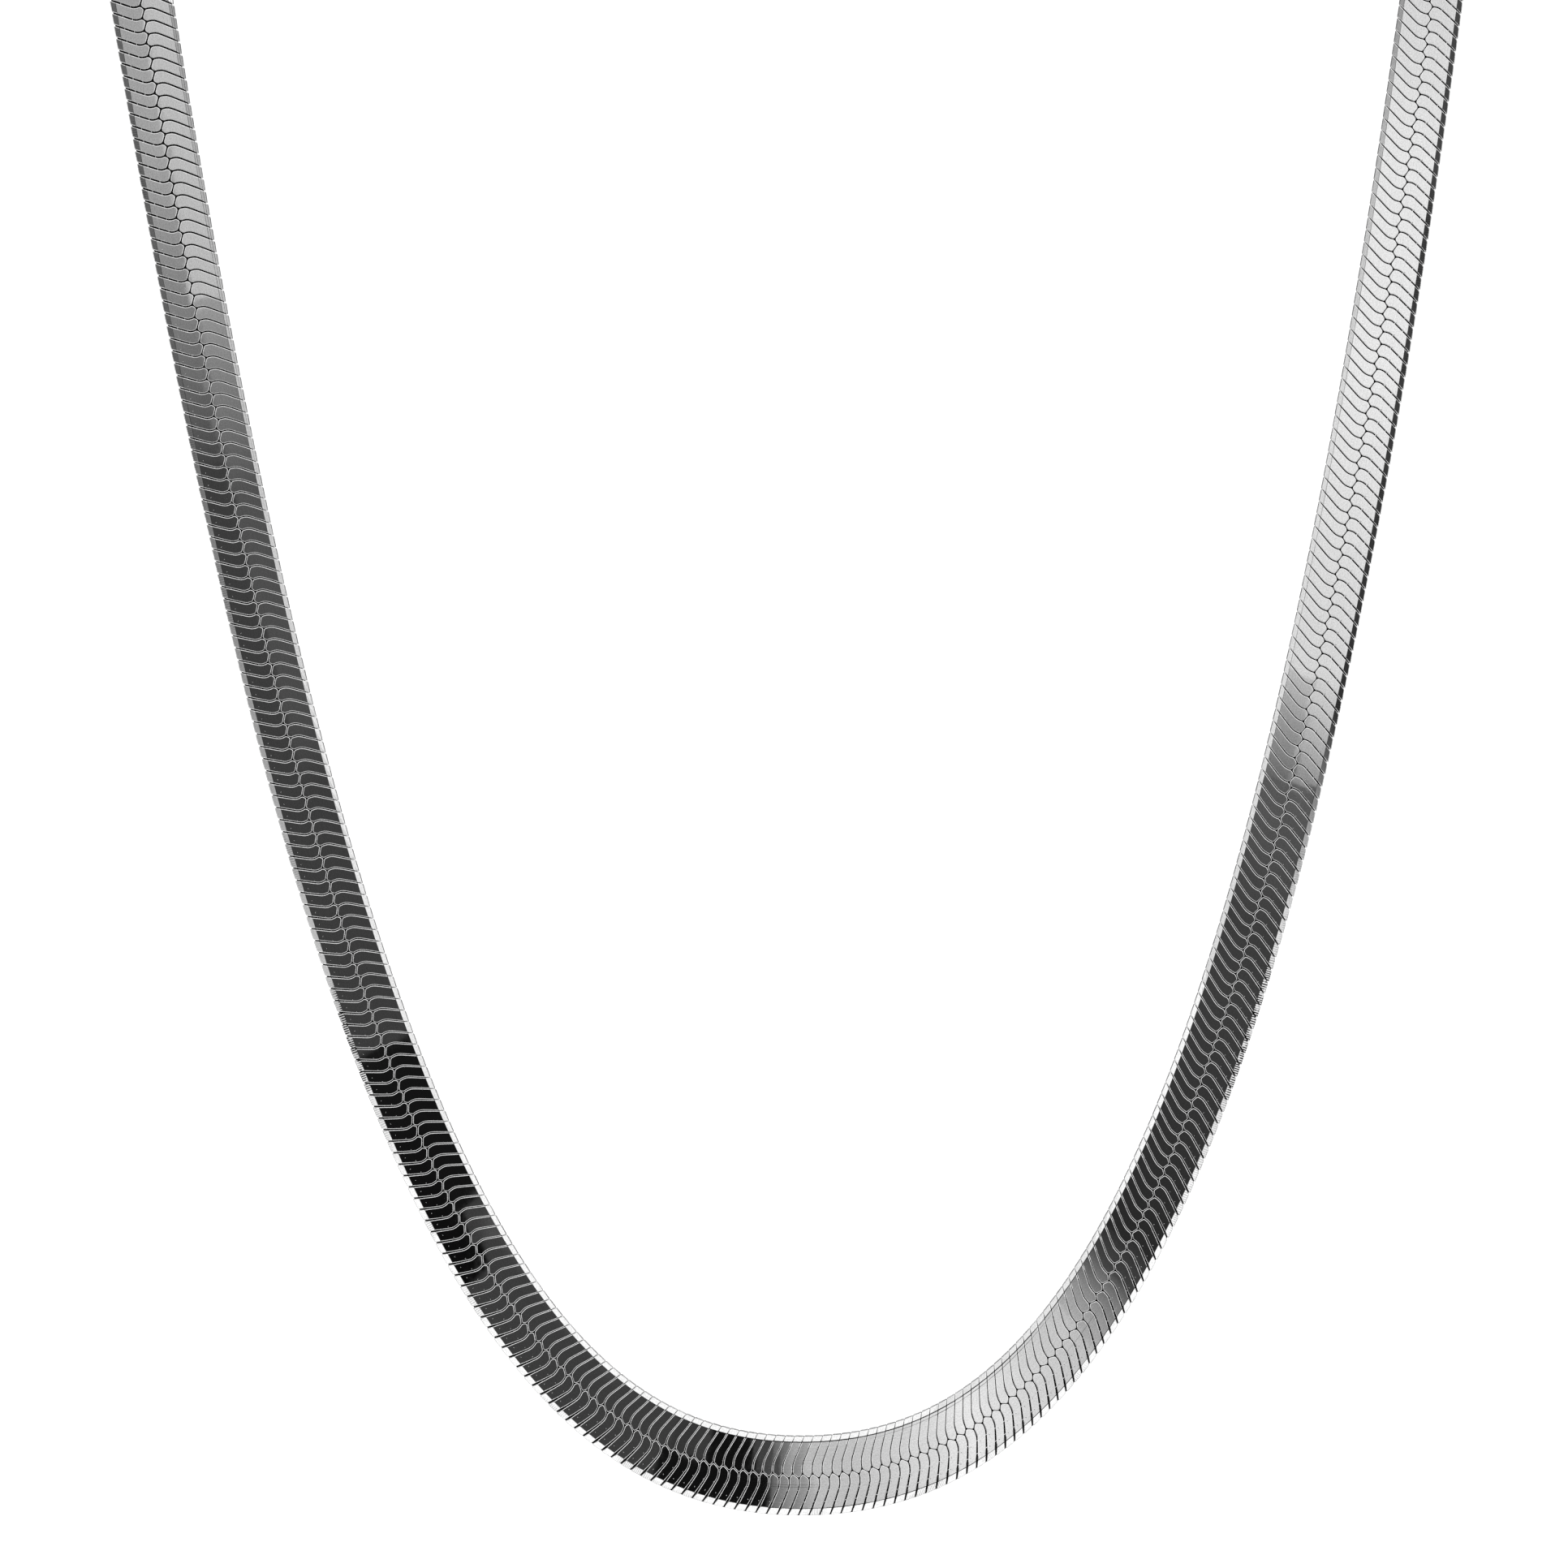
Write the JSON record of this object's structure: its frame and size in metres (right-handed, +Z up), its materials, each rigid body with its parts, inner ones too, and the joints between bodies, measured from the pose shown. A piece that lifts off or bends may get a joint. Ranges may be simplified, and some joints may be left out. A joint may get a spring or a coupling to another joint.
{
  "type": "herringbone necklace chain",
  "caption": "Flat polished herringbone neck chain in a closed loop, its front hanging in a deep U, with sleeve end caps and a plain clasp at the nape.",
  "frame": {"origin": "on the nape, at the back of the neck behind the middle of the clasp", "axes": "+Z up, the wearer faces -Y, the right end cap is on +X; the front stretch hangs in a plane square to Y"},
  "size_m": [0.1352, 0.0879, 0.1782],
  "materials": {
    "chain_metal": "mirror-polished silver faces with fine handling scratches, dark metal between the links",
    "fitting_metal": "polished silver, slightly worn"
  },
  "bodies": {
    "root": {"chain": "chain_metal", "end_cap_left": "fitting_metal", "end_cap_right": "fitting_metal", "clasp": "fitting_metal"}
  },
  "joints": []
}
